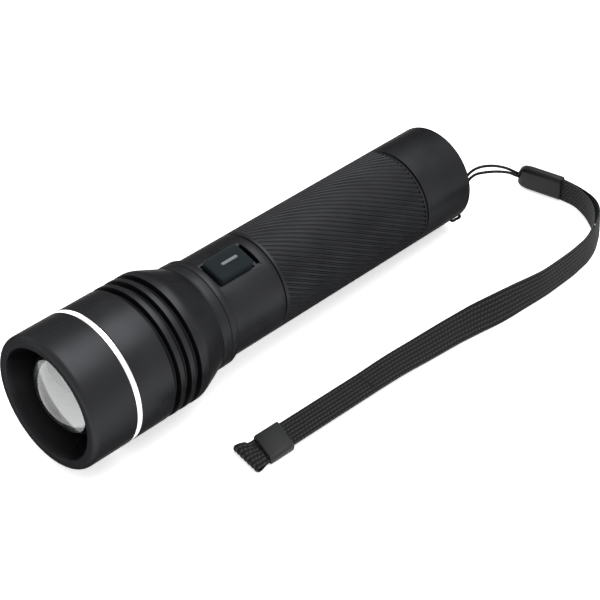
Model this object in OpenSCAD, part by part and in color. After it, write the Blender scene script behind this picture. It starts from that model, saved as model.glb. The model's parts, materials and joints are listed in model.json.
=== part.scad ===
// Zoom torch lying on its side, with a wrist lanyard.
// Millimetres. Row frame: lens towards -X, tail towards +X, +Z up, floor at z = 0,
// origin under the middle of the torch. It rests on the head's rear rim and the tailcap.
// Torch pieces are drawn upright (+Z from the front face to the tail), then laid down by lying().

/* [Body] */
// Whole length of the torch
torch_length = 149.4; // [149.4:0.5:160]
// Outside diameter of the head
head_d = 39; // [38.8:0.1:40]
// Outside diameter of the grip and tailcap
body_d = 30; // [30:0.1:30.6]

/* [Head] */
// Length of the bezel
bezel_length = 14.4; // [14:0.1:15]
// Diameter of the bezel's mouth
mouth_d = 32.2; // [31:0.1:33]
// Radius of the lens dome
lens_dome_r = 17; // [16.8:0.1:17.4]
// Depth of the cooling grooves
groove_depth = 1.6; // [0.4:0.1:1.8]
// Spacing of the cooling grooves
groove_pitch = 3.7; // [3:0.1:3.8]
// How far the head slides forward to narrow the beam
zoom_travel = 8; // [5:0.5:8]

/* [Switch] */
// Where the button sits around the body, from the top towards the lanyard side
button_angle = 13; // [0:1:30]
// Length of the button along the torch
button_length = 12.4; // [10:0.1:12.6]
// Width of the button across the torch
button_width = 8.2; // [7:0.1:8.4]
// How far the button is pressed
button_travel = 0.6; // [0.3:0.1:0.8]

/* [Battery] */
// Diameter of an AAA cell
cell_d = 10.2; // [9.8:0.1:10.3]
// Length of an AAA cell
cell_length = 44.5; // [44:0.1:44.5]

/* [Lanyard] */
// Width of the wrist strap
strap_width = 8.6; // [8:0.1:8.8]
// Thickness of the two strap layers together
strap_thickness = 1.1; // [0.8:0.1:1.3]
// Diameter of the thin cord
cord_d = 0.9; // [0.6:0.1:1]
// Where the cord hole is around the tailcap, from the top towards the lanyard side
cord_hole_angle = 129; // [120:1:135]

/* [Hidden] */
$fn = 96;

// Clearances
overshoot = 1;            // how far a cutter passes through a surface
fit_gap = 0.05;           // round the pieces that are screwed or pressed together
run_gap = 0.1;            // round the pieces that turn or slide in each other
half_seam = 0.15;         // half of the gap where two moving bodies meet end to end

// Stations along the torch, measured from the front face
head_r = head_d / 2;
body_r = body_d / 2;
rim_edge = 1;             // rounding of the bezel's front edge
lens_seat = 7.5;
lens_back = 9.4;
gasket_back = 10;
retainer_back = 12.5;
trim_length = 1.7;
trim_sink = 0.15;         // how far the trim ring lies below the bezel
sleeve_front = bezel_length + trim_length;
spigot_end = 20;
first_groove = 28.5;
groove_count = 3;
groove_width = 2.1;
head_rim = 39.15;         // rear end of the head's full radius
slide_start = 40.3;       // front end of the bore that slides on the zoom tube
parting = 51.4;           // where the head meets the switch housing
tube_front = 24;
shoulder_end = 53.9;
housing_back = 72.9;
joint_floor = 69;         // bottom of the housing's socket for the grip
spigot_front = 70.8;
thread_end = 139.2;
grip_end = 131;
cap_chamber_end = 141.4;
tail_recess_floor = 144.4;
tail_edge = 0.3;          // rounding of the tailcap's rear edge

// Radii
spigot_r = 17.5;
cavity_r = 16.5;
lens_r = 14.4;
lens_bore_r = 14.6;
zoom_tube_r = 13.5;
inner_bore_r = 11.2;
pill_r = 11.75;
lip_r = 16;               // the head's rear lip and the housing's shoulder
joint_r = 12.95;          // the grip's front spigot
battery_bore_r = 11.6;
thread_r = 13.5;          // outside of the grip's rear thread
tail_recess_r = 11;
o_ring_r = 0.55;
o_ring_seat = 1.6;        // width of an O-ring's seat
o_ring_floor_r = 12.4;    // bottom of an O-ring's seat
zoom_o_ring_at = 42;
body_o_ring_at = 133;

// Button and switch, measured outwards from the torch's axis
button_mid = 61.35;
button_top = 16.2;
flat_level = 14.2;        // floor of the milled pocket
flat_from = 54.3;
flat_to = 69.7;
slot_level = 13.4;        // floor of the slot behind the button
slot_from = 68.5;
slot_width = 7.8;
flange_level = 10;
flange_thickness = 0.8;
flange_lip = 0.8;
corner_r = 1.2;
stripe_length = 5.8;
stripe_width = 0.9;
stripe_corner_r = 0.4;
plunger_r = 1.6;
board_level = 2;
board_thickness = 1.4;
switch_size = 6;
switch_top = 6.9;
switch_well = 5;          // floor of the switch's well for the plunger
plunger_foot = 5.8;       // lower end of the plunger
stripe_sink = 0.2;        // how deep the stripe is set into the button
stripe_rise = 0.25;       // and how far it stands above it

// Battery
cell_ring_r = 6;
cell_count = 3;
carrier_front = 76.6;
carrier_r = 11.2;
end_plate = 2.4;
contact_room = 1.2;
cells_front = carrier_front + end_plate + contact_room;
carrier_back = cells_front + cell_length + contact_room + end_plate;
board_r = 12.9;

// How the torch lies: its head rim and its tail touch the floor
tail_touch = torch_length - tail_edge / 2;
tilt = atan((head_r - body_r) / (tail_touch - head_rim));
axis_height = head_rim * sin(tilt) + head_r * cos(tilt);
front_x = -torch_length / 2 * cos(tilt) + 0.1;

// Thin cord
cord_sides = 8;
cord_steps = 4;
cord_hole_r = 1.2;
cord_hole_at = 145.9;

// Strap and slider
strap_steps = 3;
strap_level = 1.2;        // height of the strap's middle where it lies flat
loop_flare = 2.2;         // how much wider the strap is at its far loop,
loop_swell = 1.2;         // and how much thicker
slider_x = -29.1;
slider_length = 8.4;
slider_wall = 0.55;
slider_gap = 0.2;
strap_slope = -0.0554;    // sideways drift of the straight run along +X
strap_offset = -38.7;     // where the straight run's line crosses x = 0

// Connector
connector_nose = [104.7, -10.4];
connector_heading = -75.7;
connector_thickness = 3.4;
// Side view: distance from the nose, height
connector_side = [
  [0, 1.4], [0.5, 0.7], [1.2, 0.35], [2, 0.15], [3.1, 0], [14.4, 0], [14.4, 8.2], [4.3, 8.2],
  [3.1, 8.15], [2, 8], [1.2, 7.7], [0.5, 7.1], [0, 5.9]
];

// Springs
wire_r = 0.35;
turns = 5;
steps_per_turn = 20;

// Point in the row frame for a station along the torch, an angle and a radius
function row_point(along, angle, radius) = [
  front_x + along * cos(tilt) + radius * cos(angle) * sin(tilt),
  -radius * sin(angle),
  axis_height - along * sin(tilt) + radius * cos(angle) * cos(tilt)
];

// Row of the strap's route on its straight run
function straight_point(x) = [x, strap_offset + strap_slope * x, strap_level, 180, 0];

// Route of the cord: from the connector, over the rim, through the hole and back
cord_route = [
  [105, -11.3, 3.3], [102.2, -10.8, 5.2], [98.9, -10.8, 7.95], [93.7, -10.6, 11.1],
  [87, -10.6, 14.4], [81.6, -10.6, 16.1], [77.6, -11, 14.6],
  row_point(150.2, cord_hole_angle, 14.5), row_point(149.7, cord_hole_angle, 15.4),
  row_point(148.8, cord_hole_angle, 15.6), row_point(147.7, cord_hole_angle, 15.5),
  row_point(146.7, cord_hole_angle, 15.5), row_point(146.05, cord_hole_angle, 15.1),
  row_point(cord_hole_at, cord_hole_angle, 14), row_point(cord_hole_at, cord_hole_angle, 11.4),
  row_point(146.6, cord_hole_angle, 10), row_point(150, cord_hole_angle, 9.8), [78, -9.6, 15],
  [81.2, -9.4, 16.7], [85.6, -9.4, 16.4], [91.8, -9.4, 13.7], [98, -9.6, 9.75],
  [102.4, -9.9, 6.1], [105, -10.35, 3.9]
];

// Route of the strap: x, y, z, roll (90 = on edge, 180 = flat), and how far it widens (1 at the far
// loop, below 0 where the connector's mouth squeezes it)
strap_route = [
  [108, -23.8, 4, 90, -0.25], [107.8, -30, 4.3, 90, -0.45], [106.4, -35.1, 4.35, 90, -0.3],
  [104.6, -38.5, 4.4, 91, -0.1], [102, -41.8, 4.4, 93, 0], [98.5, -44.6, 4.4, 95, 0],
  [94.8, -46.8, 4.4, 97, 0], [90.3, -48.3, 4.4, 99, 0], [85.6, -48.9, 4.4, 100, 0],
  [80.7, -49.2, 4.4, 101, 0], [70.5, -49.1, 4.4, 103, 0], [65.5, -48.5, 4.3, 107, 0],
  [60.5, -47.6, 4.1, 114, 0], [55.5, -46.6, 3.7, 124, 0], [50.5, -45.5, 3.3, 135, 0],
  [45.5, -44, 2.6, 152, 0], [40.5, -42.9, 2.1, 161, 0], [35.5, -42.1, 1.9, 166, 0],
  [25.5, -40.9, 1.6, 171, 0], [15.5, -39.7, 1.4, 176, 0],
  straight_point(5.5), straight_point(2), straight_point(-30), straight_point(-33.6),
  [-35, -36.8, 1.2, 180, 0.35], [-36.5, -36.55, 1.2, 180, 0.8], [-38, -36.35, 1.2, 180, 1]
];

function unit(v) = v / norm(v);

// Smooth curve through four neighbouring points, at t from 0 to 1 between the middle two
function curve(a, b, c, d, t) =
  (2 * b + (c - a) * t + (2 * a - 5 * b + 4 * c - d) * t * t + (3 * b - a - 3 * c + d) * t * t * t) / 2;

function smooth_route(route, steps) = [
  for (i = [0:len(route) - 2], s = [0:steps - 1])
    curve(route[max(i - 1, 0)], route[i], route[i + 1], route[min(i + 2, len(route) - 1)], s / steps),
  route[len(route) - 1]
];

function place(row) = [row[0], row[1], row[2]];

function heading(rows, i) = unit(place(rows[min(i + 1, len(rows) - 1)]) - place(rows[max(i - 1, 0)]));

// Corners of a round section across the heading; guide is a direction the heading never takes
function round_ring(middle, along, guide, r, sides) =
  let (side = unit(cross(along, guide)), other = cross(side, along))
  [for (k = [0:sides - 1]) middle + r * (cos(360 * k / sides) * side + sin(360 * k / sides) * other)];

// Corners of a strap section with softened edges
function strap_ring(row, along) =
  let (
    left = unit(cross([0, 0, 1], along)),
    across = cos(row[3]) * left + sin(row[3]) * [0, 0, 1],
    face = cross(across, along),
    w = (strap_width + loop_flare * row[4]) / 2,
    t = (strap_thickness + loop_swell * max(row[4], 0)) / 2,
    e = t / 2,
    outline = [[w, e], [w - e, t], [e - w, t], [-w, e], [-w, -e], [e - w, -t], [w - e, -t], [w, -e]]
  )
  [for (p = outline) place(row) + p[0] * across + p[1] * face];

// Closed solid through a list of rings
module skin(rings) {
  sides = len(rings[0]);
  last = (len(rings) - 1) * sides;
  points = [for (ring = rings, p = ring) p];
  walls = [
    for (i = [0:len(rings) - 2], j = [0:sides - 1], half = [0, 1])
      let (a = i * sides + j, b = i * sides + (j + 1) % sides)
      half == 0 ? [a, b, b + sides] : [a, b + sides, a + sides]
  ];
  ends = [[for (j = [sides - 1:-1:0]) j], [for (j = [0:sides - 1]) last + j]];
  polyhedron(points = points, faces = concat(walls, ends));
}

module lying() {
  translate([front_x, 0, axis_height]) rotate([0, 90 + tilt, 0]) children();
}

// Turns +X towards the button
module facing_button() {
  rotate([0, 0, 180 + button_angle]) children();
}

module disc(r, from, to) {
  translate([0, 0, from]) cylinder(r = r, h = to - from);
}

module ring(outer_r, inner_r, from, to) {
  difference() {
    disc(outer_r, from, to);
    disc(inner_r, from - overshoot, to + overshoot);
  }
}

// Bar with round corners, drawn along +X from one level to another, centred on the button
module corner_bar(length, width, r, from, to) {
  rise = to - from;
  translate([from, 0, button_mid]) rotate([0, 90, 0]) {
    translate([-length / 2, r - width / 2, 0]) cube([length, width - 2 * r, rise]);
    translate([r - length / 2, -width / 2, 0]) cube([length - 2 * r, width, rise]);
    for (x = [-1, 1], y = [-1, 1])
      translate([x * (length / 2 - r), y * (width / 2 - r), 0]) cylinder(r = r, h = rise);
  }
}

module o_ring(outer_r, at) {
  translate([0, 0, at]) rotate_extrude() translate([outer_r - o_ring_r, 0]) circle(r = o_ring_r, $fn = 24);
}

module coil(from, to, base_r, top_r) {
  count = turns * steps_per_turn;
  low = from + wire_r;
  rise = to - from - 2 * wire_r;
  rows = [
    for (i = [0:count])
      let (s = i / count, r = base_r + (top_r - base_r) * s, a = 360 * turns * s)
      [r * cos(a), r * sin(a), low + rise * s]
  ];
  skin([for (i = [0:count]) round_ring(rows[i], heading(rows, i), [0, 0, 1], wire_r, 6)]);
}

module bezel() {
  edge = [for (a = [0:15:90]) [head_r - rim_edge + rim_edge * sin(a), rim_edge - rim_edge * cos(a)]];
  color([0.09, 0.09, 0.1]) lying() rotate_extrude() polygon(concat(
    [[mouth_d / 2 + 0.4, 0]], edge,
    [[head_r, bezel_length], [spigot_r, bezel_length], [spigot_r, spigot_end],
     [lens_bore_r, spigot_end], [lens_bore_r, lens_seat], [13.5, lens_seat], [mouth_d / 2, 0.4]]
  ));
}

module front_lens() {
  dome_centre = 1 + lens_dome_r;
  color([0.8, 0.82, 0.85, 0.4]) lying() {
    intersection() {
      translate([0, 0, dome_centre]) sphere(r = lens_dome_r);
      disc(lens_r, 0, lens_seat + fit_gap);
    }
    disc(lens_r, lens_seat + fit_gap, lens_back);
  }
}

module lens_gasket() {
  color([0.05, 0.05, 0.05]) lying() ring(lens_r, 13, lens_back, gasket_back);
}

module lens_retaining_ring() {
  color([0.2, 0.2, 0.2]) lying() difference() {
    ring(lens_bore_r - fit_gap, 12.8, gasket_back, retainer_back);
    for (side = [-1, 1]) translate([side * 13 - 1.5, -0.75, retainer_back - 1]) cube([3, 1.5, 2]);
  }
}

module trim_ring() {
  color([0.8, 0.8, 0.82]) lying()
    ring(head_r - trim_sink, spigot_r + fit_gap, bezel_length + fit_gap, sleeve_front - fit_gap);
}

module head_sleeve() {
  grooves = [
    for (i = [0:groove_count - 1])
      let (mid = first_groove + i * groove_pitch, floor_r = head_r - groove_depth)
      each [
        [head_r, mid - groove_width / 2], [floor_r, mid - groove_width / 2],
        [floor_r, mid + groove_width / 2], [head_r, mid + groove_width / 2]
      ]
  ];
  taper = [
    [head_r, head_rim], [19.2, 40.35], [18.4, 42.85], [17.1, 45.35], [15.9, 48.05], [15.8, 48.45],
    [lip_r, 48.85], [lip_r, parting - 0.35], [lip_r - 0.2, parting - half_seam]
  ];
  inside = [
    [zoom_tube_r + run_gap, parting - half_seam], [zoom_tube_r + run_gap, slide_start],
    [cavity_r, slide_start], [cavity_r, spigot_end + 0.6], [spigot_r + fit_gap, spigot_end + 0.6],
    [spigot_r + fit_gap, sleeve_front]
  ];
  color([0.09, 0.09, 0.1]) lying() rotate_extrude()
    polygon(concat([[head_r, sleeve_front]], grooves, taper, inside));
}

module zoom_stop_ring() {
  stop_back = slide_start - zoom_travel - 0.3;
  color([0.5, 0.5, 0.5]) lying() ring(cavity_r - 0.3, zoom_tube_r + fit_gap, stop_back - 3, stop_back);
}

module zoom_o_ring() {
  color([0.05, 0.05, 0.05]) lying() o_ring(zoom_tube_r + fit_gap, zoom_o_ring_at);
}

// Hole, milled flat and rear slot for the button
module button_opening() {
  hole = [button_length + 2 * half_seam, button_width + 2 * half_seam];
  facing_button() {
    corner_bar(hole[0], hole[1], corner_r, board_level, body_r + overshoot);
    translate([flat_level, -body_r / 2, flat_from]) cube([body_r, body_r, flat_to - flat_from]);
    translate([slot_level, -slot_width / 2, slot_from]) cube([body_r, slot_width, flat_to - slot_from]);
  }
}

module switch_housing() {
  seat = o_ring_seat / 2;
  outside = [
    [zoom_tube_r, tube_front], [zoom_tube_r, zoom_o_ring_at - seat],
    [o_ring_floor_r, zoom_o_ring_at - seat], [o_ring_floor_r, zoom_o_ring_at + seat],
    [zoom_tube_r, zoom_o_ring_at + seat],
    [zoom_tube_r, parting + half_seam], [lip_r - 0.3, parting + half_seam],
    [lip_r - 0.1, parting + 0.4], [lip_r - 0.1, shoulder_end - 0.3],
    [lip_r - 0.25, shoulder_end - 0.1], [body_r, shoulder_end],
    [body_r, housing_back - 0.3], [body_r - 0.2, housing_back]
  ];
  inside = [
    [joint_r + fit_gap, housing_back], [joint_r + fit_gap, joint_floor], [inner_bore_r, joint_floor],
    [inner_bore_r, 30], [pill_r + fit_gap, 30], [pill_r + fit_gap, tube_front]
  ];
  color([0.09, 0.09, 0.1]) lying() difference() {
    rotate_extrude() polygon(concat(outside, inside));
    button_opening();
  }
}

module led_pill() {
  color([0.75, 0.6, 0.3]) lying() {
    disc(12.6, 22.4, tube_front);
    disc(pill_r, tube_front, 29.9);
  }
}

module led_board() {
  color([0.9, 0.9, 0.88]) lying() disc(10, 20.8, 22.4);
}

module led_emitter() {
  color([0.9, 0.85, 0.3]) lying() {
    translate([-1.75, -1.75, 20]) cube([3.5, 3.5, 0.8]);
    intersection() {
      translate([0, 0, 20]) sphere(r = 1.4, $fn = 48);
      disc(2, 18, 20.2);
    }
  }
}

module driver_board() {
  color([0.1, 0.35, 0.15]) lying() {
    disc(inner_bore_r - fit_gap, 30.1, 31.7);
    for (spot = [[-4, -3], [3, 2], [-2, 4]]) translate([spot[0], spot[1], 31.7]) cube([3, 2, 1.2]);
  }
}

module switch_cradle() {
  color([0.15, 0.15, 0.15]) lying() facing_button() difference() {
    disc(inner_bore_r - fit_gap, 52, joint_floor);
    translate([board_level, -body_r, 50]) cube([body_r, body_d, 20]);
    translate([-6, 0, 50]) cylinder(r = 1.5, h = 20);
  }
}

module switch_board() {
  color([0.1, 0.35, 0.15]) lying() facing_button()
    translate([board_level, -6, 53]) cube([board_thickness, 12, 12.8]);
}

module tactile_switch() {
  base = board_level + board_thickness;
  half = switch_size / 2;
  color([0.6, 0.6, 0.6]) lying() facing_button() difference() {
    translate([base, -half, button_mid - half]) cube([switch_top - base, switch_size, switch_size]);
    translate([switch_well, 0, button_mid]) rotate([0, 90, 0])
      cylinder(r = plunger_r + half_seam, h = switch_top);
  }
}

module front_contact_board() {
  color([0.1, 0.35, 0.15]) lying() disc(board_r, joint_floor + fit_gap, spigot_front - fit_gap);
}

module front_contact_spring() {
  color([0.8, 0.7, 0.35]) lying() coil(spigot_front - fit_gap, carrier_front - 0.7, 4, 2.2);
}

module grip_tube() {
  seat = o_ring_seat / 2;
  outside = [
    [joint_r, spigot_front], [joint_r, housing_back + fit_gap], [body_r - 0.2, housing_back + fit_gap],
    [body_r, housing_back + 0.3], [body_r, grip_end - 0.45], [body_r - 0.3, grip_end - half_seam],
    [thread_r, grip_end - half_seam], [thread_r, body_o_ring_at - seat],
    [o_ring_floor_r, body_o_ring_at - seat],
    [o_ring_floor_r, body_o_ring_at + seat], [thread_r, body_o_ring_at + seat], [thread_r, thread_end]
  ];
  color([0.09, 0.09, 0.1]) lying() rotate_extrude()
    polygon(concat(outside, [[battery_bore_r, thread_end], [battery_bore_r, spigot_front]]));
}

module body_o_ring() {
  color([0.05, 0.05, 0.05]) lying() o_ring(thread_r + fit_gap, body_o_ring_at);
}

// The stripe's bar, from its seat to a height above the button
module stripe_bar(rise) {
  corner_bar(stripe_length, stripe_width, stripe_corner_r, button_top - stripe_sink, button_top + rise);
}

module button_cap() {
  flange = [button_length + 2 * flange_lip, button_width + flange_lip];
  color([0.13, 0.14, 0.15]) lying() facing_button() difference() {
    union() {
      corner_bar(button_length, button_width, corner_r, flange_level, button_top);
      corner_bar(flange[0], flange[1], corner_r, flange_level - flange_thickness, flange_level);
    }
    stripe_bar(overshoot);
  }
}

module button_stripe() {
  color([0.7, 0.71, 0.72]) lying() facing_button() stripe_bar(stripe_rise);
}

module switch_plunger() {
  top = flange_level - flange_thickness;
  color([0.1, 0.1, 0.1]) lying() facing_button()
    translate([plunger_foot, 0, button_mid]) rotate([0, 90, 0])
      cylinder(r = plunger_r, h = top - plunger_foot);
}

// Repeats its children once per cell, turned round the axis
module per_cell(turn) {
  for (i = [0:cell_count - 1]) rotate([0, 0, i * 360 / cell_count + turn]) children();
}

module battery_carrier() {
  from = carrier_front + 1;
  to = carrier_back - 1;
  rib = [3.2, 2.2];
  color([0.12, 0.12, 0.12]) lying() {
    disc(carrier_r, carrier_front, carrier_front + end_plate);
    disc(carrier_r, carrier_back - end_plate, carrier_back);
    disc(0.7, from, to);
    per_cell(60) translate([7.6, -rib[1] / 2, from]) cube([rib[0], rib[1], to - from]);
  }
}

module aaa_cells() {
  nub = 0.8;
  color([0.25, 0.27, 0.3]) lying() per_cell(0) translate([cell_ring_r, 0, cells_front]) {
    cylinder(r = 1.9, h = nub + 0.2);
    translate([0, 0, nub]) cylinder(r = cell_d / 2, h = cell_length - nub);
  }
}

module cell_contacts() {
  color([0.8, 0.7, 0.35]) lying() per_cell(0) translate([cell_ring_r, 0, 0]) {
    disc(3.2, carrier_front + end_plate, cells_front);
    disc(3.2, cells_front + cell_length, carrier_back - end_plate);
  }
}

module carrier_end_contacts() {
  color([0.8, 0.7, 0.35]) lying() {
    disc(3, carrier_front - 0.4, carrier_front);
    disc(6, carrier_back, carrier_back + 0.5);
  }
}

module tailcap() {
  edge = [
    for (a = [0:15:90])
      [body_r - tail_edge * (1 - cos(a)), torch_length - tail_edge * (1 - sin(a))]
  ];
  wall = concat(
    [[thread_r + run_gap, grip_end + half_seam], [body_r - 0.35, grip_end + half_seam],
     [body_r, grip_end + 0.5]],
    edge,
    [[tail_recess_r + 0.4, torch_length], [tail_recess_r, torch_length - 0.4],
     [tail_recess_r, tail_recess_floor], [0, tail_recess_floor], [0, cap_chamber_end],
     [thread_r + run_gap, cap_chamber_end]]
  );
  color([0.09, 0.09, 0.1]) lying() difference() {
    rotate_extrude() polygon(wall);
    rotate([0, 0, 180 + cord_hole_angle]) translate([tail_recess_r / 2, 0, cord_hole_at]) rotate([0, 90, 0])
      cylinder(r = cord_hole_r, h = body_r, $fn = 48);
  }
}

module tail_contact_board() {
  color([0.1, 0.35, 0.15]) lying() disc(thread_r, cap_chamber_end - 1.5, cap_chamber_end);
}

module tail_spring() {
  color([0.8, 0.7, 0.35]) lying() mirror([0, 0, 1])
    coil(-(cap_chamber_end - 1.5), -(carrier_back + 0.8), 5, 3);
}

module lanyard_cord() {
  rows = smooth_route(cord_route, cord_steps);
  color([0.06, 0.06, 0.06]) skin([
    for (i = [0:len(rows) - 1])
      round_ring(rows[i], heading(rows, i), [0, 1, 0], cord_d / 2, cord_sides)
  ]);
}

module cord_connector() {
  color([0.06, 0.06, 0.07]) translate(connector_nose) rotate([90, 0, connector_heading])
    linear_extrude(height = connector_thickness, center = true) polygon(connector_side);
}

module wrist_strap() {
  rows = smooth_route(strap_route, strap_steps);
  color([0.08, 0.08, 0.08])
    skin([for (i = [0:len(rows) - 1]) strap_ring(rows[i], heading(rows, i))]);
}

module strap_slider() {
  room = [slider_length + 2 * overshoot, strap_width + 2 * slider_gap, strap_thickness + 2 * slider_gap];
  block = [slider_length, room[1] + 2 * slider_wall, 2 * strap_level];
  color([0.12, 0.12, 0.13]) translate(place(straight_point(slider_x))) rotate([0, 0, atan(strap_slope)])
    difference() {
      cube(block, center = true);
      cube(room, center = true);
    }
}

bezel();
front_lens();
lens_gasket();
lens_retaining_ring();
trim_ring();
head_sleeve();
switch_housing();
zoom_stop_ring();
zoom_o_ring();
led_pill();
led_board();
led_emitter();
driver_board();
switch_cradle();
switch_board();
tactile_switch();
front_contact_board();
front_contact_spring();
grip_tube();
body_o_ring();
button_cap();
button_stripe();
switch_plunger();
battery_carrier();
aaa_cells();
cell_contacts();
carrier_end_contacts();
tailcap();
tail_contact_board();
tail_spring();
lanyard_cord();
cord_connector();
wrist_strap();
strap_slider();
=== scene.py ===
"""Looks for the zoom torch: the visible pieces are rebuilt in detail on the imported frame.

Torch pieces are drawn in the torch's own frame, in millimetres: X is up, Y is towards the
lanyard's side, Z runs from the lens to the tail. Lanyard pieces are drawn in the row frame.
"""
import json
import math

import bmesh
import bpy
from mathutils import Matrix, Vector


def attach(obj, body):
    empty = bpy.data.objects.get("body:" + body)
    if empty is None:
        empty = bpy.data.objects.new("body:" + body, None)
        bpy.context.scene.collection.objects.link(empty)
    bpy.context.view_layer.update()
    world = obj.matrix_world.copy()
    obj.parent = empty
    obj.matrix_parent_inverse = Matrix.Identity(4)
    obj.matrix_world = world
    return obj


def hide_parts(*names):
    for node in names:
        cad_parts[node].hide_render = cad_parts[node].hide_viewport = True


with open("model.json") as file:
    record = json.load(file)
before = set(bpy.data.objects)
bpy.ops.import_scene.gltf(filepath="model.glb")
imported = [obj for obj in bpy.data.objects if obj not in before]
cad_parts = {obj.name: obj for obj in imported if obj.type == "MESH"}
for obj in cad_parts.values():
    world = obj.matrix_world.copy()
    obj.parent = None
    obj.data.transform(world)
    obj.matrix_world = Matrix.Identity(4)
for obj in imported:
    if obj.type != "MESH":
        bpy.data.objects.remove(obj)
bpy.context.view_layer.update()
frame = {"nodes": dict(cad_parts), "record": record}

MM = 0.001
AROUND = 192
FULL_TURN = 2 * math.pi
UP = Vector((0, 0, 1))

# Torch: radii, and stations from the front rim, in millimetres as in the CAD
HEAD_R = 19.5
BODY_R = 15.0
LENS_TIP = 1.0
LENS_DOME_R = 17.0
LENS_DOME_ANGLE = math.radians(51.8)
RECESS_R = 16.2
HEAD_GROOVES = (28.5, 32.2, 35.9)
GRIP_MIDDLE = 102.5
GROOVES_FROM = 73.95
GROOVES_TO = 130.0
THREAD_R = 13.5
THREAD_FROM = 134.2
THREAD_TO = 139.2
THREAD_PITCH = 1.5
CORD_HOLE_ANGLE = math.radians(129)
CORD_HOLE_AT = 145.9

# Button with its well, in the middle of a milled flat that has a slot at its back end
BUTTON_ANGLE = math.radians(13)
BUTTON_OUTWARD = Vector((math.cos(BUTTON_ANGLE), math.sin(BUTTON_ANGLE), 0))
BUTTON_ACROSS = Vector((-math.sin(BUTTON_ANGLE), math.cos(BUTTON_ANGLE), 0))
BUTTON_MIDDLE = 61.35
STRIPE_MIDDLE = 61.9
STRIPE_SHIFT = -0.3
WELL_REACH = 6.35
WELL_HALF = 4.25
WELL_FLOOR = 12.0
FLAT_FROM = 54.3
FLAT_TO = 69.7
FLAT_LEVEL = 14.2
SLOT_FROM = 68.7
SLOT_LEVEL = 13.3
SLOT_HALF = 3.9

# Lanyard, in millimetres as in the CAD
CORD_D = 0.9
STRAP_WIDTH = 8.6
STRAP_LEVEL = 1.2
STRAP_SLOPE = -0.0554
STRAP_OFFSET = -38.7
LAYER_THICKNESS = 0.52
LAYERS_APART = 0.03
LOOP_FLARE = 2.2
LOOP_OPENING = 0.6
SLIDER_X = -29.1
RIBS = 7
STITCH = 1.15

# Materials: the band length of a wave texture, and the pattern values that take the two ends of a range
WAVE_PERIOD = 0.314
PATTERN_RANGE = (0.3, 0.7)


def torch_matrix():
    """The torch's own frame in the row frame, from the grip's clamp in the record."""
    clamp = next(m for m in frame["record"]["mounts"] if m["name"] == "grip_clamp")
    tail = Vector(clamp["axis"]).normalized()
    side = Vector((0, -1, 0))
    up = side.cross(tail)
    matrix = Matrix((up, side, tail)).transposed().to_4x4()
    matrix.translation = Vector(clamp["pos_m"]) - GRIP_MIDDLE * MM * tail
    return matrix


TORCH = torch_matrix()
ROW = Matrix.Identity(4)


# ---------- camera ----------

def add_camera():
    """Camera at the viewing angle: a long lens from in front of the torch, above its lanyard side."""
    data = bpy.data.cameras.new("camera")
    data.lens = 113.52
    data.sensor_width = 36
    camera = bpy.data.objects.new("camera", data)
    camera.location = (-0.27634, -0.29155, 0.36007)
    aim = Vector((0.53629, 0.53056, -0.65643))
    camera.rotation_euler = aim.to_track_quat("-Z", "Y").to_euler()
    bpy.context.collection.objects.link(camera)
    bpy.context.scene.camera = camera


# ---------- materials ----------

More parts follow.
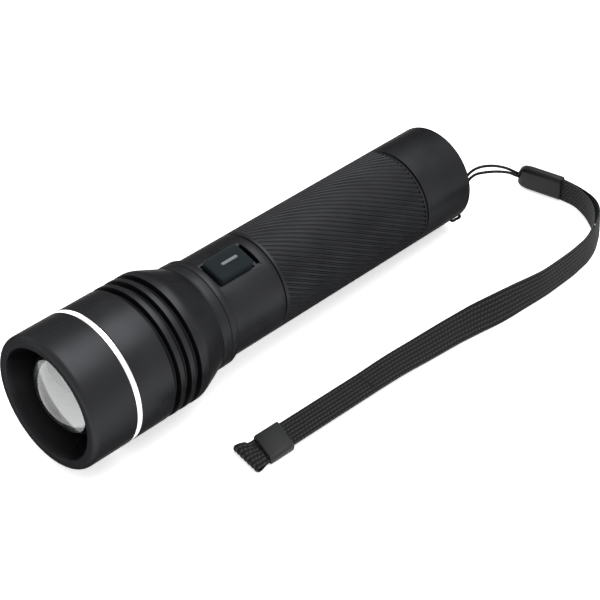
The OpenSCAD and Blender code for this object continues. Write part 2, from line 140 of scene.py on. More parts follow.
class Look:
    """A node material with one Principled shader, and short calls that add detail to it."""

    def __init__(self, name, colour, roughness, metallic=0.0, specular=0.5):
        self.material = bpy.data.materials.new(name)
        self.material.use_nodes = True
        self.nodes = self.material.node_tree.nodes
        self.shader = self.nodes["Principled BSDF"]
        self.colour = colour
        self.roughness = roughness
        self.set("Base Color", (*colour, 1))
        self.set("Roughness", roughness)
        self.set("Metallic", metallic)
        self.set("Specular IOR Level", specular)
        self.heights = None

    def set(self, socket, value):
        """Sets one socket of the shader."""
        self.shader.inputs[socket].default_value = value
        return self

    def link(self, source, target):
        self.material.node_tree.links.new(source, target)

    def coordinates(self, scale, space="Object"):
        """Texture coordinates in millimetres, stretched by scale."""
        source = self.nodes.new("ShaderNodeTexCoord")
        mapping = self.nodes.new("ShaderNodeMapping")
        factor = 1 / MM if space == "Object" else 1
        mapping.inputs["Scale"].default_value = [factor * s for s in scale]
        self.link(source.outputs[space], mapping.inputs["Vector"])
        return mapping.outputs["Vector"]

    def beyond(self, radius, blur=3.0):
        """Passes 0.5 at a radius round the torch's axis, and rises by 1 over blur millimetres."""
        node = self.nodes.new("ShaderNodeVectorMath")
        node.operation = "LENGTH"
        self.link(self.coordinates((1 / blur, 1 / blur, 0)), node.inputs[0])
        return self.math("SUBTRACT", node.outputs["Value"], radius / blur - 0.5)

    def noise(self, scale, detail=4.0, space="Object"):
        """Soft random pattern, with scale in cells per millimetre along each axis."""
        texture = self.nodes.new("ShaderNodeTexNoise")
        texture.inputs["Scale"].default_value = 1.0
        texture.inputs["Detail"].default_value = detail
        self.link(self.coordinates(scale, space), texture.inputs["Vector"])
        return texture.outputs["Fac"]

    def wave(self, scale, direction, distortion=0.0):
        """Regular bands over the UV map, WAVE_PERIOD / scale apart, or twice that for DIAGONAL."""
        texture = self.nodes.new("ShaderNodeTexWave")
        texture.bands_direction = direction
        texture.inputs["Scale"].default_value = 1.0
        texture.inputs["Distortion"].default_value = distortion
        texture.inputs["Detail"].default_value = 1.0
        self.link(self.coordinates(scale, "UV"), texture.inputs["Vector"])
        return texture.outputs["Fac"]

    def math(self, operation, first, second):
        """One sum on two values, each of them a number or another node's output."""
        node = self.nodes.new("ShaderNodeMath")
        node.operation = operation
        for socket, value in zip(node.inputs, (first, second)):
            if isinstance(value, (int, float)):
                socket.default_value = value
            else:
                self.link(value, socket)
        return node.outputs[0]

    def vary_colour(self, pattern, low, high):
        """Base colour from low to high times the plain colour, following a pattern."""
        ramp = self.nodes.new("ShaderNodeValToRGB")
        for stop, factor, place in zip(ramp.color_ramp.elements, (low, high), PATTERN_RANGE):
            stop.position = place
            stop.color = (*[min(1.0, factor * c) for c in self.colour], 1)
        self.link(pattern, ramp.inputs["Fac"])
        self.link(ramp.outputs["Color"], self.shader.inputs["Base Color"])
        return self

    def vary_roughness(self, pattern, spread):
        """Roughness up to spread above and below the plain roughness, following a pattern."""
        span = self.nodes.new("ShaderNodeMapRange")
        span.inputs["From Min"].default_value = PATTERN_RANGE[0]
        span.inputs["From Max"].default_value = PATTERN_RANGE[1]
        span.inputs["To Min"].default_value = self.roughness - spread
        span.inputs["To Max"].default_value = self.roughness + spread
        self.link(pattern, span.inputs["Value"])
        self.link(span.outputs["Result"], self.shader.inputs["Roughness"])
        return self

    def bump(self, pattern, height_mm, strength=1.0):
        """Raises the surface by a pattern. Later calls add to earlier ones."""
        node = self.nodes.new("ShaderNodeBump")
        node.inputs["Strength"].default_value = strength
        node.inputs["Distance"].default_value = height_mm * MM
        self.link(pattern, node.inputs["Height"])
        if self.heights is not None:
            self.link(self.heights, node.inputs["Normal"])
        self.heights = node.outputs["Normal"]
        self.link(self.heights, self.shader.inputs["Normal"])
        return self


def anodised(name, colour, roughness, shaded_recess_r=None):
    """Black anodised aluminium: a fine blasted grain over faint turning lines.

    Inside the recess radius, where it is given, the colour is painted darker: painted shade in the
    recess.
    """
    look = Look(name, colour, roughness, metallic=0.92, specular=0.3)
    look.set("Specular Tint", (0.25, 0.25, 0.25, 1))
    clouds = look.noise((0.12, 0.12, 0.12))
    if shaded_recess_r is None:
        look.vary_colour(clouds, 0.9, 1.12)
    else:
        # painted shade: colour down to 0.42 times inside the recess radius
        look.vary_colour(look.beyond(shaded_recess_r), 0.42, 1.0)
    look.vary_roughness(clouds, 0.025)
    look.bump(look.noise((0.05, 0.05, 7), detail=2), 0.004)
    look.bump(look.noise((9, 9, 9), detail=3), 0.006, 0.6)
    return look.material


def moulded(name, colour, roughness, grain=0.012, size=5, specular=0.3):
    """Moulded plastic or rubber with a fine grain and slight unevenness."""
    look = Look(name, colour, roughness, specular=specular)
    clouds = look.noise((0.4, 0.4, 0.4))
    look.vary_colour(clouds, 0.88, 1.12).vary_roughness(clouds, 0.04)
    look.bump(look.noise((size, size, size), detail=2), grain)
    return look.material


def polished(name, colour, roughness):
    """Bright turned metal."""
    look = Look(name, colour, roughness, metallic=1.0)
    look.vary_roughness(look.noise((0.3, 0.3, 4)), 0.03)
    look.vary_colour(look.noise((0.2, 0.2, 3)), 0.95, 1.04)
    look.bump(look.noise((0.05, 0.05, 12), detail=2), 0.0015)
    return look.material


def clear_lens():
    """Clear acrylic with a grey tint, which stands for the dark parts that a real lens mirrors."""
    look = Look("lens_acrylic", (0.26, 0.265, 0.265), 0.03)
    look.set("Transmission Weight", 1.0).set("IOR", 1.49)
    clouds = look.noise((0.3, 0.3, 0.3))
    look.vary_colour(clouds, 0.97, 1.03).vary_roughness(clouds, 0.01)
    return look.material


def webbing(name, colour):
    """Ribbed webbing: stitches along each rib, coloured with painted sheen on the rib crowns and painted
    shade between the ribs. U runs along the strap and V across it, in mm.
    """
    look = Look(name, colour, 0.8, specular=0.25)
    look.set("Sheen Weight", 0.05).set("Sheen Roughness", 0.4)
    rib_scale = (0.3, WAVE_PERIOD * RIBS / STRAP_WIDTH, 1)
    stitch_scale = (2 * WAVE_PERIOD / STITCH, -0.3, 1)
    ribs = look.wave(rib_scale, "Y", distortion=0.5)
    slants = look.wave(stitch_scale, "DIAGONAL", distortion=1.2)
    fibres = look.noise((5, 14, 1), detail=3, space="UV")
    stitch_pattern_and_painted_sheen = look.math("MULTIPLY", ribs, look.math("ADD", look.math("MULTIPLY", slants, 0.6), 0.4))
    # Painted sheen and painted shade: stitched rib crowns up to 3.9 times lighter, valleys between ribs
    # down to 0.1 times. The stitch pattern itself is real.
    look.vary_colour(stitch_pattern_and_painted_sheen, 0.1, 3.9)
    look.bump(fibres, 0.05)
    return look.material


def braid(name, colour):
    """Thin braided cord: crossing strands. U runs along the cord and V around it."""
    look = Look(name, colour, 0.75, specular=0.15)
    over = look.wave((1.1, 1.0, 1), "DIAGONAL")
    under = look.wave((1.1, -1.0, 1), "DIAGONAL")
    strands = look.math("MAXIMUM", over, under)
    look.vary_colour(strands, 0.6, 1.5).bump(strands, 0.08)
    return look.material


def make_looks():
    """Every material by name: metals and plastics by recipe, then the clear and woven ones."""
    black = (0.027, 0.0275, 0.0295)
    recipes = {
        "body_anodised": (anodised, black, 0.40, {}),
        # the bezel's recess gets painted shade
        "bezel_anodised": (anodised, black, 0.40, {"shaded_recess_r": RECESS_R}),
        "grip_anodised": (anodised, black, 0.42, {}),
        "bright_ring": (polished, (0.92, 0.92, 0.93), 0.16, {}),
        "plain_aluminium": (polished, (0.7, 0.7, 0.72), 0.3, {}),
        "pill_brass": (polished, (0.72, 0.55, 0.25), 0.3, {}),
        "contact_brass": (polished, (0.83, 0.66, 0.3), 0.22, {}),
        "seal_rubber": (moulded, (0.012, 0.012, 0.012), 0.6, {}),
        "dark_plastic": (moulded, (0.02, 0.02, 0.021), 0.5, {}),
        "board_white": (moulded, (0.6, 0.61, 0.59), 0.4, {"grain": 0.004}),
        "board_green": (moulded, (0.012, 0.09, 0.03), 0.35, {"grain": 0.004}),
        "led_yellow": (moulded, (0.8, 0.62, 0.08), 0.25, {"grain": 0.004}),
        "stripe_grey": (moulded, (0.11, 0.13, 0.14), 0.35, {"grain": 0.004}),
        "cell_wrap": (moulded, (0.03, 0.05, 0.09), 0.3, {"grain": 0.003}),
        "button_rubber": (
            moulded, (0.0085, 0.0125, 0.0138), 0.6, {"grain": 0.01, "size": 7, "specular": 0.06}),
        "connector_plastic": (
            moulded, (0.002, 0.002, 0.0021), 0.33, {"grain": 0.006, "size": 8, "specular": 0.2}),
        "slider_plastic": (
            moulded, (0.012, 0.0125, 0.0135), 0.5, {"grain": 0.008, "size": 8, "specular": 0.25}),
    }
    made = {name: make(name, colour, roughness, **more)
            for name, (make, colour, roughness, more) in recipes.items()}
    made["lens"] = clear_lens()
    made["strap_webbing"] = webbing("strap_webbing", (0.0075, 0.0075, 0.0078))
    made["cord_black"] = braid("cord_black", (0.003, 0.003, 0.003))
    return made


# ---------- meshes ----------

def filleted(corners, steps=4):
    """Closed outline through corners (x, y, rounding), each corner softened by a small curve."""
    most_of_side = 0.48
    outline = []
    for i, (x, y, rounding) in enumerate(corners):
        here = Vector((x, y))
        if rounding <= 0:
            outline.append((x, y))
            continue
        ends = []
        for other in (corners[i - 1], corners[(i + 1) % len(corners)]):
            way = Vector(other[:2]) - here
            ends.append(here + way * min(rounding / way.length, most_of_side))
        for k in range(steps + 1):
            t = k / steps
            point = ends[0] * (1 - t) ** 2 + here * 2 * t * (1 - t) + ends[1] * t ** 2
            outline.append((point.x, point.y))
    return outline


def skin_faces(ring_count, around, looped):
    """Quads between neighbouring rings of points; looped also joins the last ring to the first."""
    faces = []
    for i in range(ring_count if looped else ring_count - 1):
        here = i * around
        there = (i + 1) % ring_count * around
        for j in range(around):
            k = (j + 1) % around
            faces.append((here + j, here + k, there + k, there + j))
    return faces


def add_piece(name, points, faces, body, material, nodes, matrix=TORCH, sharp=32, uvs=None):
    """A mesh piece from points in millimetres, riding on a body and standing for CAD nodes."""
    mesh = bpy.data.meshes.new(name)
    mesh.from_pydata([Vector(p) * MM for p in points], [], faces)
    mesh.validate()
    if uvs is not None:
        layer = mesh.uv_layers.new(name="UVMap")
        for loop in mesh.loops:
            layer.data[loop.index].uv = uvs[loop.vertex_index]
    mesh.polygons.foreach_set("use_smooth", [True] * len(mesh.polygons))
    mesh.update()
    mesh.set_sharp_from_angle(angle=math.radians(sharp))
    piece = bpy.data.objects.new(name, mesh)
    bpy.context.collection.objects.link(piece)
    piece.matrix_world = matrix
    mesh.materials.append(looks[material])
    fix_normals(mesh)
    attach(piece, body)
    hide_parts(*nodes)
    return piece


def fix_normals(mesh):
    """Merges points that coincide and turns every face outwards."""
    work = bmesh.new()
    work.from_mesh(mesh)
    bmesh.ops.remove_doubles(work, verts=work.verts, dist=1e-8)
    bmesh.ops.recalc_face_normals(work, faces=work.faces)
    work.to_mesh(mesh)
    work.free()


def revolved(profile, around=AROUND):
    """Points and faces of a closed profile (radius, station) turned round the torch's axis."""
    points = []
    for r, z in profile:
        for j in range(around):
            a = FULL_TURN * j / around
            points.append((r * math.cos(a), r * math.sin(a), z))
    return points, skin_faces(len(profile), around, looped=True)


def turned_piece(name, corners, body, material, nodes):
    """A piece turned round the torch's axis from corners (radius, station, rounding)."""
    points, faces = revolved(filleted(corners))
    add_piece(name, points, faces, body, material, nodes)


def rounded_rectangle(width, height, corner, steps=6):
    """Outline of a rectangle with round corners, centred on the origin."""
    outline = []
    for quarter in range(4):
        sx = 1 if quarter in (0, 3) else -1
        sy = 1 if quarter in (0, 1) else -1
        for k in range(steps + 1):
            a = math.pi / 2 * (quarter + k / steps)
            outline.append((
                sx * (width / 2 - corner) + corner * math.cos(a),
                sy * (height / 2 - corner) + corner * math.sin(a),
            ))
    return outline


def upright(middle, side, outline):
    """Points of an outline (across, up) round a middle point, with side as its across direction."""
    return [middle + side * across + UP * height for across, height in outline]


def lofted(rings):
    """Points and faces of a closed solid through rings of points, with a flat cap at each end."""
    around = len(rings[0])
    points = [p for ring in rings for p in ring]
    faces = skin_faces(len(rings), around, looped=False)
    last = (len(rings) - 1) * around
    faces.append(tuple(range(around - 1, -1, -1)))
    faces.append(tuple(range(last, last + around)))
    return points, faces


# ---------- torch ----------

def make_bezel():
    """Bezel: the front rim, the outside, the spigot, the lens seat and the conical recess."""
    corners = [
        (16.3, 0.05, 0.25), (18.6, 0, 0.5), (HEAD_R, 0.9, 0.9), (HEAD_R, 14.4, 0.2), (17.5, 14.4, 0.1),
        (17.5, 20, 0.2), (14.6, 20, 0.2), (14.6, 7.5, 0.05), (13.52, 7.5, 0.1), (16.1, 0.6, 0.3),
    ]
    turned_piece("bezel_shell", corners, "head", "bezel_anodised", ["bezel"])


def make_trim_ring():
    """Bright ring in the joint between the bezel and the head sleeve."""
    corners = [(17.55, 14.43, 0), (19.42, 14.43, 0.18), (19.42, 16.07, 0.18), (17.55, 16.07, 0)]
    turned_piece("bright_trim_ring", corners, "head", "bright_ring", ["trim_ring"])


def make_head_sleeve():
    """Head sleeve: three cooling grooves, a taper, a rear lip and the bore."""
    corners = [(17.6, 16.1, 0.1), (HEAD_R, 16.1, 0.2)]
    for middle in HEAD_GROOVES:
        corners += [
            (HEAD_R, middle - 1.1, 0.1), (17.5, middle - 1.05, 0.3),
            (17.5, middle + 1.0, 0.3), (HEAD_R, middle + 1.05, 0.1),
        ]
    corners += [
        (HEAD_R, 39.25, 0.8), (19.1, 40.55, 0.6), (17.1, 45.45, 2.0), (15.95, 48.05, 0.7),
        (15.8, 48.45, 0.2), (16.0, 48.9, 0.2), (16.0, 51.32, 0.15), (13.6, 51.32, 0.2),
        (13.6, 40.3, 0.1), (16.5, 40.3, 0.1),
        (16.5, 20.6, 0.1), (17.6, 20.6, 0.1),
    ]
    turned_piece("head_sleeve_shell", corners, "head", "body_anodised", ["head_sleeve"])


def housing_radius(angle, station, plain):
    """Radius of the switch housing: the plain profile cut by the milled flat and the button's well."""
    turn = (angle - BUTTON_ANGLE + math.pi) % FULL_TURN - math.pi
    if abs(turn) >= 1:
        return plain
    across = abs(FLAT_LEVEL * math.tan(turn))
    if abs(station - BUTTON_MIDDLE) <= WELL_REACH and across <= WELL_HALF:
        return WELL_FLOOR
    if FLAT_FROM < station < FLAT_TO:
        in_slot = station > SLOT_FROM and across < SLOT_HALF
        level = SLOT_LEVEL if in_slot else FLAT_LEVEL
        return min(plain, level / math.cos(turn))
    return plain


def housing_turns():
    """Angles of the housing's points: evenly spaced, and doubled up at the flat's edges."""
    nudge = 0.0008
    edges = [math.atan(half / FLAT_LEVEL) for half in (WELL_HALF, SLOT_HALF)]
    edges.append(math.acos(FLAT_LEVEL / BODY_R))
    turns = {FULL_TURN * j / AROUND for j in range(AROUND)}
    for edge in edges:
        for sign in (-1, 1):
            turns |= {(BUTTON_ANGLE + sign * edge + d) % FULL_TURN for d in (-nudge, nudge)}
    return sorted(turns)


def wall_rings(station):
    """Two rings close together, for a wall that stands across the torch."""
    nudge = 0.02
    return [(BODY_R, station - nudge), (BODY_R, station + nudge)]


def housing_outside():
    """Outside of the switch housing as (radius, station), from the slide in the head to the grip."""
    slide = [(13.5, 24), (13.5, 41.2), (12.4, 41.25), (12.4, 42.75), (13.5, 42.8), (13.5, 51.46)]
    shoulder = [
        (15.7, 51.46), (15.88, 51.52), (15.95, 51.7), (15.93, 53.4), (15.85, 53.65), (15.7, 53.78),
        (15.08, 53.9), (BODY_R, 54.0),
    ]
    well = wall_rings(BUTTON_MIDDLE - WELL_REACH)
    well += [(BODY_R, station) for station in range(56, 68)]
    well += wall_rings(BUTTON_MIDDLE + WELL_REACH)
    back = [(BODY_R, 71), (BODY_R, 72.3), (14.9, 72.55), (14.6, 72.65), (14.6, 72.85)]
    behind_well = wall_rings(SLOT_FROM) + wall_rings(FLAT_TO)
    return slide + shoulder + wall_rings(FLAT_FROM) + well + behind_well + back


def make_switch_housing():
    """Switch housing as rings of points whose radius dips at the milled flat and the well."""
    outside = housing_outside()
    inside = [(13.0, 72.85), (13.0, 69), (11.2, 69), (11.2, 30), (11.8, 30), (11.8, 24)]
    cut_above = 14.9
    turns = housing_turns()
    points = []
    for i, (r, z) in enumerate(outside + inside):
        cut = i < len(outside) and r > cut_above
        for a in turns:
            radius = housing_radius(a, z, r) if cut else r
            points.append((radius * math.cos(a), radius * math.sin(a), z))
    faces = skin_faces(len(outside) + len(inside), len(turns), looped=True)
    add_piece("switch_housing_shell", points, faces, "barrel", "body_anodised",
              ["switch_housing"], sharp=25)


def groove_depth(part):
    """Depth of a grip groove across one pitch, part from 0 to 1: a narrow rounded channel."""
    deepest, half_width = 0.34, 0.27
    return deepest * max(0.0, 1 - ((part - 0.5) / half_width) ** 2)


def thread_rings():
    """O-ring groove and thread crests behind the grip, as (radius, station, grooved)."""
    root = THREAD_R - 0.6
    rings = [(THREAD_R, 132.2, 0), (12.4, 132.25, 0), (12.4, 133.75, 0), (THREAD_R, 133.8, 0)]
    station = THREAD_FROM
    while station + THREAD_PITCH < THREAD_TO:
        rings += [(THREAD_R, station, 0), (root, station + 0.5, 0), (root, station + 0.7, 0)]
        rings.append((THREAD_R, station + 1.2, 0))
        station += THREAD_PITCH
    return rings + [(THREAD_R, THREAD_TO - 0.3, 0), (13.2, THREAD_TO, 0)]


def grip_rings():
    """The grip's profile as (radius, station, grooved), grooved being 1 where the grooves cut it."""
    nudge = 0.02
    steps = 56
    front = [(12.95, 70.8, 0), (12.95, 72.95, 0), (14.7, 72.95, 0), (14.93, 73.1, 0), (BODY_R, 73.35, 0)]
    grooved = [(BODY_R, GROOVES_FROM - nudge, 0), (BODY_R, GROOVES_FROM + nudge, 1)]
    for k in range(1, steps):
        grooved.append((BODY_R, GROOVES_FROM + (GROOVES_TO - GROOVES_FROM) * k / steps, 1))
    grooved += [(BODY_R, GROOVES_TO - nudge, 1), (BODY_R, GROOVES_TO + nudge, 0)]
    back = [(BODY_R, 130.75, 0), (14.9, 130.9, 0), (14.4, 130.95, 0), (13.5, 130.95, 0)]
    bore = [(11.6, THREAD_TO, 0), (11.6, 70.8, 0)]
    return front + grooved + back + thread_rings() + bore


def make_grip():
    """Grip tube with fine slanted grooves. The mesh follows the grooves, so their edges are clean."""
    grooves = 60
    per_groove = 10
    around = grooves * per_groove
    slant = math.radians(2.17)
    rings = grip_rings()
    points = []
    for r, z, grooved in rings:
        for j in range(around):
            a = FULL_TURN * j / around + slant * (z - GROOVES_FROM)
            radius = r - grooved * groove_depth((j % per_groove) / per_groove)
            points.append((radius * math.cos(a), radius * math.sin(a), z))
    faces = skin_faces(len(rings), around, looped=True)
    add_piece("grip_shell", points, faces, "barrel", "grip_anodised", ["grip_tube"],
              sharp=40)


def make_tailcap():
    """Tailcap with a chamfered front edge and a recess at the tail."""
    corners = [
        (13.6, 131.35, 0.1), (14.9, 131.35, 0.05), (BODY_R, 131.45, 0.05), (BODY_R, 149.65, 0.3),
        (11.2, 149.65, 0.3), (11.0, 144.4, 0.5), (0.02, 144.4, 0), (0.02, 141.4, 0), (13.6, 141.4, 0.3),
    ]
    turned_piece("tailcap_shell", corners, "tail", "body_anodised", ["tailcap"])


def button_point(level, across, station):
    """Point at a level above the torch's axis in the button's own direction."""
    return BUTTON_OUTWARD * level + BUTTON_ACROSS * across + Vector((0, 0, station))


def make_button_top():
    """Push button: straight sides and a softly rounded top edge, as (grow, level) outlines."""
    length, width, rounding = 12.4, 8.2, 1.2
    levels = [
        (0, 12.8), (0, 15.6), (-0.03, 15.82), (-0.12, 16.02), (-0.28, 16.15), (-0.5, 16.2), (-2.0, 16.22),
    ]
    rings = []
    for grow, level in levels:
        corner = max(0.4, rounding + grow)
        outline = rounded_rectangle(length + 2 * grow, width + 2 * grow, corner)
        rings.append([button_point(level, side, BUTTON_MIDDLE + along) for along, side in outline])
    points, faces = lofted(rings)
    add_piece("button_top", points, faces, "button", "button_rubber", ["button_cap"])


def make_button_stripe():
    """Light stripe set into the button's top, as (shrink, level) outlines."""
    length, width, rounding = 5.8, 0.95, 0.45
    rings = []
    for shrink, level in ((0, 16.1), (0, 16.3), (0.08, 16.4), (0.2, 16.45)):
        outline = rounded_rectangle(length - 2 * shrink, width - 2 * shrink, rounding - shrink)
        rings.append([
            button_point(level, side + STRIPE_SHIFT, STRIPE_MIDDLE + along) for along, side in outline])
    points, faces = lofted(rings)
    add_piece("button_light_stripe", points, faces, "button", "stripe_grey",
              ["button_stripe"])


def make_lens():
    """Domed lens with a polished front and a flat back."""
    steps = 40
    profile = [(0.02, LENS_TIP)]
    for k in range(1, steps + 1):
        a = LENS_DOME_ANGLE * k / steps
        profile.append((LENS_DOME_R * math.sin(a), LENS_TIP + LENS_DOME_R * (1 - math.cos(a))))
    profile += [(14.2, 7.6), (14.4, 7.8), (14.4, 9.3), (14.3, 9.4), (0.02, 9.4)]
    points, faces = revolved(profile, around=128)
    add_piece("lens_dome", points, faces, "head", "lens", ["front_lens"], sharp=20)


# ---------- lanyard ----------

def curve_point(a, b, c, d, t):
    """Point between b and c on the smooth curve through four points."""
    square = 2 * a - 5 * b + 4 * c - d
    cube = 3 * b - a - 3 * c + d
    return (2 * b + (c - a) * t + square * t ** 2 + cube * t ** 3) / 2


def smooth_route(route, steps):
    """Points of a smooth curve through every row of the route."""
    rows = [Vector(r) for r in route]
    last = len(rows) - 1
    smooth = []
    for i in range(last):
        around = [rows[max(i - 1, 0)], rows[i], rows[i + 1], rows[min(i + 2, last)]]
        smooth += [curve_point(*around, s / steps) for s in range(steps)]
    return smooth + [rows[last]]


def row_point(station, angle, radius):
    """Row-frame point in millimetres from a station along the torch, an angle and a radius."""
    spot = Vector((radius * math.cos(angle), radius * math.sin(angle), station)) * MM
    return tuple((TORCH @ spot) / MM)


def cord_route():
    """The cord from the connector, over the tailcap's rim, through its hole, and back."""
    rim = CORD_HOLE_ANGLE
    hole = CORD_HOLE_AT
    return [
        (105, -11.3, 3.3), (102.2, -10.8, 5.2), (98.9, -10.8, 7.95), (93.7, -10.6, 11.1),
        (87, -10.6, 14.4), (81.6, -10.6, 16.1), (77.6, -11, 14.6),
        row_point(150.2, rim, 14.5), row_point(149.7, rim, 15.4), row_point(148.8, rim, 15.6),
        row_point(147.7, rim, 15.5), row_point(146.7, rim, 15.5), row_point(146.05, rim, 15.1),
        row_point(hole, rim, 14), row_point(hole, rim, 11.4), row_point(146.6, rim, 10),
        row_point(150, rim, 9.8), (78, -9.6, 15), (81.2, -9.4, 16.7), (85.6, -9.4, 16.4),
        (91.8, -9.4, 13.7), (98, -9.6, 9.75), (102.4, -9.9, 6.1), (105, -10.35, 3.9),
    ]


def straight_point(x):
    """Row of the strap's route on the straight that the sleeve slides along."""
    return (x, STRAP_OFFSET + STRAP_SLOPE * x, STRAP_LEVEL, 180, 0)


def strap_route():
    """x, y, z, roll (90 = on edge, 180 = flat) and how far the strap widens (1 at the far loop)."""
    return [
        (108, -23.8, 4, 90, -0.25), (107.8, -30, 4.3, 90, -0.45), (106.4, -35.1, 4.35, 90, -0.3),
        (104.6, -38.5, 4.4, 91, -0.1), (102, -41.8, 4.4, 93, 0), (98.5, -44.6, 4.4, 95, 0),
        (94.8, -46.8, 4.4, 97, 0), (90.3, -48.3, 4.4, 99, 0), (85.6, -48.9, 4.4, 100, 0),
        (80.7, -49.2, 4.4, 101, 0), (70.5, -49.1, 4.4, 103, 0), (65.5, -48.5, 4.3, 107, 0),
        (60.5, -47.6, 4.1, 114, 0), (55.5, -46.6, 3.7, 124, 0), (50.5, -45.5, 3.3, 135, 0),
        (45.5, -44, 2.6, 152, 0), (40.5, -42.9, 2.1, 161, 0), (35.5, -42.1, 1.9, 166, 0),
        (25.5, -40.9, 1.6, 171, 0), (15.5, -39.7, 1.4, 176, 0),
        straight_point(5.5), straight_point(2), straight_point(-30), straight_point(-33.6),
        (-35, -36.8, 1.2, 180, 0.35), (-36.5, -36.55, 1.2, 180, 0.8), (-38, -36.35, 1.2, 180, 1),
    ]


def headings(points):
    """Direction of travel at each point."""
    last = len(points) - 1
    return [(points[min(i + 1, last)] - points[max(i - 1, 0)]).normalized() for i in range(last + 1)]


def make_cord():
    """Thin cord, looped through the tailcap's rim, with both ends in the connector."""
    line = smooth_route(cord_route(), 8)
    around = 12
    braid_lap = 2.8
    rings, uvs = [], []
    travelled = 0.0
    for i, (middle, way) in enumerate(zip(line, headings(line))):
        travelled += (middle - line[max(i - 1, 0)]).length
        side = way.cross(Vector((0, 1, 0))).normalized()
        other = side.cross(way)
        ring = []
        for k in range(around):
            a = FULL_TURN * k / around
            ring.append(middle + CORD_D / 2 * (math.cos(a) * side + math.sin(a) * other))
            uvs.append((travelled, braid_lap * abs(1 - 2 * k / around)))
        rings.append(ring)
    points, faces = lofted(rings)
    cord = add_piece("lanyard_thin_cord", points, faces, "tail", "cord_black",
                     ["lanyard_cord"], matrix=ROW, sharp=60, uvs=uvs)


def strap_frames():
    """Middle, across and face directions, loop opening and distance travelled, along the route."""
    steps = 16
    route = strap_route()
    rows = smooth_route([(x, y, z) for x, y, z, _, _ in route], steps)
    extras = smooth_route([(roll, opening, 0) for _, _, _, roll, opening in route], steps)
    frames = []
    travelled = 0.0
    for i, (middle, way, extra) in enumerate(zip(rows, headings(rows), extras)):
        travelled += (middle - rows[max(i - 1, 0)]).length
        left = UP.cross(way).normalized()
        roll = math.radians(extra.x)
        across = math.cos(roll) * left + math.sin(roll) * UP
        frames.append((middle, across, across.cross(way), extra.y, travelled))
    return frames


def even_frames(frames, step):
    """The same frames at even distances, so that the stitches keep one size."""
    length = frames[-1][4]
    count = round(length / step)
    even = []
    j = 0
    for i in range(count + 1):
        target = length * i / count
        while j < len(frames) - 2 and frames[j + 1][4] < target:
            j += 1
        a, b = frames[j], frames[j + 1]
        t = (target - a[4]) / max(b[4] - a[4], 1e-9)
        mixed = [a[k] + (b[k] - a[k]) * t for k in range(4)]
        even.append((mixed[0], mixed[1].normalized(), mixed[2].normalized(), mixed[3], target))
    return even


def bend_swell(travelled):
    """How far the two layers have parted in the bend beside the connector, 1 in its middle."""
    bend_middle, bend_reach = 16, 8.5
    return math.exp(-((travelled - bend_middle) / bend_reach) ** 2)


def ribbon_stations(frames):
    """The webbing's run: out along the inner layer, round the far loop and back along the outer one."""
    inner_swell, outer_swell = 0.1, 1.4
    turn_steps = 8
    out, back = [], []
    for middle, across, face, opening, travelled in frames:
        swell = bend_swell(travelled)
        apart = LAYERS_APART + LOOP_OPENING * max(opening, 0)
        near = apart + inner_swell * swell
        far = apart + outer_swell * swell
        out.append((middle - face * near, across, -face, opening))
        back.append((middle + face * far, across, face, opening))
    middle, across, face, opening, _ = frames[-1]
    way = face.cross(across)
    reach = LAYERS_APART + LOOP_OPENING * opening
    turn = []
    for k in range(1, turn_steps):
        a = math.pi * (k / turn_steps - 0.5)
        outward = way * math.cos(a) + face * math.sin(a)
        turn.append((middle + outward * reach, across, outward, opening))
    return out + turn + back[::-1]


def ribbon_ring(station, travelled):
    """Section of the webbing: stitched ribs on its outer face, plain on the face turned inwards."""
    middle, across, outward, opening = station
    width = STRAP_WIDTH + LOOP_FLARE * opening
    per_rib = 8
    samples = RIBS * per_rib
    back_samples = 6
    back_lift = 0.02
    ring, coordinates = [], []
    for k in range(samples + 1):
        u = 0.5 - k / samples
        rib = min(RIBS - 1, k // per_rib)
        crown = abs(math.sin(math.pi * k / per_rib)) ** 0.7
        phase = travelled / STITCH + 0.5 * (rib % 2) + 0.3 * (k % per_rib) / per_rib
        knot = 0.62 + 0.38 * abs(math.sin(math.pi * phase))
        edge = (1 - abs(2 * u) ** 10) ** 0.5
        lift = LAYER_THICKNESS * (0.3 + edge * (0.2 + 0.5 * crown * knot))
        ring.append(middle + across * (u * width) + outward * lift)
        coordinates.append((travelled, u * STRAP_WIDTH))
    for k in range(back_samples + 1):
        u = k / back_samples - 0.5
        ring.append(middle + across * (u * width) + outward * back_lift)
        coordinates.append((travelled, u * STRAP_WIDTH))
    return ring, coordinates


def make_strap():
    """Doubled wrist strap: one long ribbon of stitched webbing."""
    frames = even_frames(strap_frames(), STITCH / 4)
    stations = ribbon_stations(frames)
    rings, uvs = [], []
    travelled = 0.0
    for i, station in enumerate(stations):
        travelled += (station[0] - stations[max(i - 1, 0)][0]).length
        ring, coordinates = ribbon_ring(station, travelled)
        rings.append(ring)
        uvs += coordinates
    points, faces = lofted(rings)
    strap = add_piece("wrist_strap_webbing", points, faces, "tail", "strap_webbing",
                      ["wrist_strap"], matrix=ROW, sharp=70, uvs=uvs)
    return strap, [f[0] for f in frames[::6]] + [frames[-1][0]]


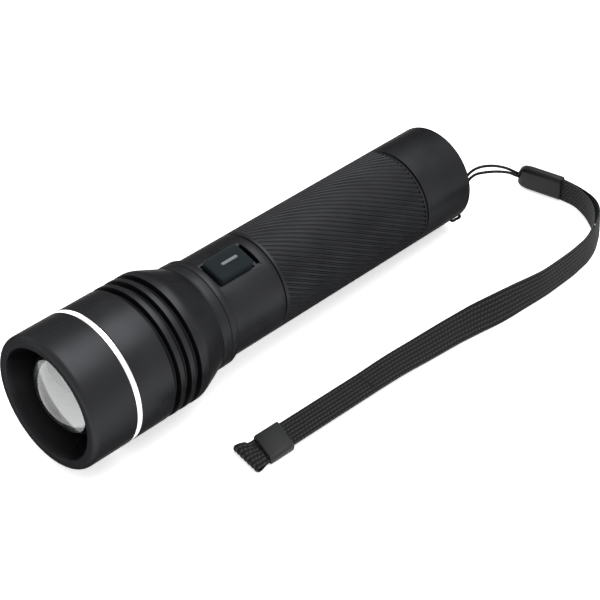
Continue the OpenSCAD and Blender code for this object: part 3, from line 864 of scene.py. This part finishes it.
def make_slider():
    """Flat moulded sleeve round both strap layers, its ends cut a little askew."""
    length, width, height, rounding, skew = 8.4, 10.1, 2.7, 1.1, 0.25
    way = Vector((1, STRAP_SLOPE, 0)).normalized()
    side = UP.cross(way)
    middle = Vector(straight_point(SLIDER_X)[:3]) + Vector((-0.1, -0.25, 0.15))
    front = middle - way * length / 2
    askew = side + way * skew
    # distance from the front end, and how far the outline is drawn in
    sections = [(0, 0.3), (0.12, 0.12), (0.4, 0), (length - 0.4, 0), (length - 0.12, 0.12), (length, 0.3)]
    rings = []
    for along, shrink in sections:
        outline = rounded_rectangle(width - 2 * shrink, height - 2 * shrink, rounding - shrink)
        rings.append(upright(front + way * along, askew, outline))
    opening = rounded_rectangle(9.2, 1.6, 0.3)
    for along in (length - 0.1, 0.1):
        rings.append(upright(front + way * along - UP * 0.1, askew, opening))
    points = [p for ring in rings for p in ring]
    faces = skin_faces(len(rings), len(rings[0]), looped=True)
    return add_piece("strap_sleeve", points, faces, "slider", "slider_plastic",
                     ["strap_slider"], matrix=ROW, sharp=40)


def make_connector():
    """Moulded cord connector standing on edge, with a tapered nose for the cord."""
    heading = math.radians(-75.7)
    way = Vector((math.cos(heading), math.sin(heading), 0))
    side = UP.cross(way)
    nose = Vector((104.7, -10.4, 0))
    # distance from the nose, width, bottom, top, corner rounding
    sections = [
        (0, 1.7, 1.6, 5.6, 0.8), (0.12, 2.2, 1.1, 6.3, 1.05), (0.5, 2.6, 0.7, 7.1, 1.25),
        (1.2, 3.0, 0.35, 7.7, 1.45), (2.0, 3.2, 0.15, 8.0, 1.55), (3.1, 3.35, 0, 8.15, 1.6),
        (4.3, 3.4, 0, 8.2, 1.62), (9, 3.4, 0, 8.2, 1.62), (14.0, 3.4, 0, 8.2, 1.6),
        (14.3, 3.2, 0.1, 8.1, 1.5), (14.4, 2.9, 0.25, 7.95, 1.35),
    ]
    # the mouth that the strap goes into
    sections += [(along, 2.3, 0.3, 7.9, 0.3) for along in (14.3, 13.4)]
    rings = []
    for along, width, low, high, corner in sections:
        outline = rounded_rectangle(width, high - low, corner)
        rings.append(upright(nose + way * along + UP * (low + high) / 2, side, outline))
    points, faces = lofted(rings)
    add_piece("cord_connector_body", points, faces, "tail", "connector_plastic",
              ["cord_connector"], matrix=ROW, sharp=45)


def dress_inner_nodes():
    """Materials for the CAD nodes that stay as they are."""
    slots = {part["node"]: part["material_slot"] for part in frame["record"]["subparts"]}
    for name, node in frame["nodes"].items():
        if node.hide_render:
            continue
        node.data.materials.clear()
        node.data.materials.append(looks[slots[name]])


# ---------- studio ----------

def add_floor():
    """Plain white floor that glows a little, like a light table, so that shadows stay faint."""
    reach = 6.0
    corners = [(-reach, -reach, 0), (reach, -reach, 0), (reach, reach, 0), (-reach, reach, 0)]
    mesh = bpy.data.meshes.new("floor")
    mesh.from_pydata(corners, [], [(0, 1, 2, 3)])
    floor = bpy.data.objects.new("floor", mesh)
    bpy.context.collection.objects.link(floor)
    look = Look("floor_paper", (0.97, 0.97, 0.97), 0.9)
    look.vary_colour(look.noise((0.02, 0.02, 0.02)), 0.995, 1.005)
    look.set("Emission Color", (1, 1, 1, 1)).set("Emission Strength", 0.5)
    mesh.materials.append(look.material)


def add_softbox(name, location, size, power, target=(0, 0, 0.02)):
    """Rectangular area lamp that points at a target; all in metres and watts."""
    data = bpy.data.lights.new(name, "AREA")
    data.shape = "RECTANGLE"
    data.size, data.size_y = size
    data.energy = power
    lamp = bpy.data.objects.new(name, data)
    lamp.location = location
    lamp.rotation_euler = (Vector(target) - Vector(location)).to_track_quat("-Z", "Y").to_euler()
    bpy.context.collection.objects.link(lamp)


def light_studio():
    """Bright even surroundings with a soft key light from above and a soft rim light from behind."""
    world = bpy.data.worlds.new("studio")
    world.use_nodes = True
    background = world.node_tree.nodes["Background"]
    background.inputs["Color"].default_value = (1, 1, 1, 1)
    background.inputs["Strength"].default_value = 1.1
    bpy.context.scene.world = world
    bpy.context.scene.view_settings.view_transform = "Standard"
    add_softbox("key", (0.17, -0.05, 0.52), (0.5, 0.25), 1.9, target=(-0.03, 0, 0.02))
    add_softbox("rim", (0.05, 0.5, 0.14), (0.6, 0.2), 0.8)


# ---------- build ----------

add_camera()
looks = make_looks()
make_cord()
strap, strap_line = make_strap()
make_connector()
sleeve = make_slider()
make_bezel()
make_trim_ring()
make_head_sleeve()
make_switch_housing()
make_grip()
make_tailcap()
make_button_top()
make_button_stripe()
make_lens()
dress_inner_nodes()
add_floor()
light_studio()
